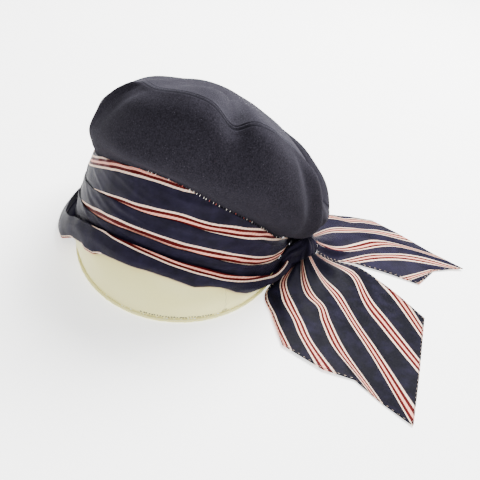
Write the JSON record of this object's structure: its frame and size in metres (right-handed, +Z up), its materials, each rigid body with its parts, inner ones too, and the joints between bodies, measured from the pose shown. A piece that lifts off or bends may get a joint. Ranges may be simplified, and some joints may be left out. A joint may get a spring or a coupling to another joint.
{
  "type": "sailor cap",
  "caption": "Soft wool sailor cap with a slouched crown, a striped scarf tied round the band and a short satin peak.",
  "frame": {"origin": "middle of the resting cap's footprint, tails included, on the surface it rests on", "axes": "+X is the wearer's left, where the scarf is knotted; -Y is the front, where the peak is; +Z is up"},
  "size_m": [0.3556, 0.294, 0.1636],
  "materials": {
    "navy_wool": "matt felted wool",
    "navy_silk": "striped silk with a soft sheen",
    "cream_satin": "satin"
  },
  "bodies": {
    "root": {"headband": "navy_wool", "crown_front": "navy_wool", "crown_back": "navy_wool", "crown_tip": "navy_wool", "scarf_band": "navy_silk", "scarf_lower_fold": "navy_silk", "scarf_knot": "navy_silk", "scarf_tail_near": "navy_silk", "scarf_tail_far": "navy_silk", "peak": "cream_satin", "peak_welt": "cream_satin"}
  },
  "joints": []
}
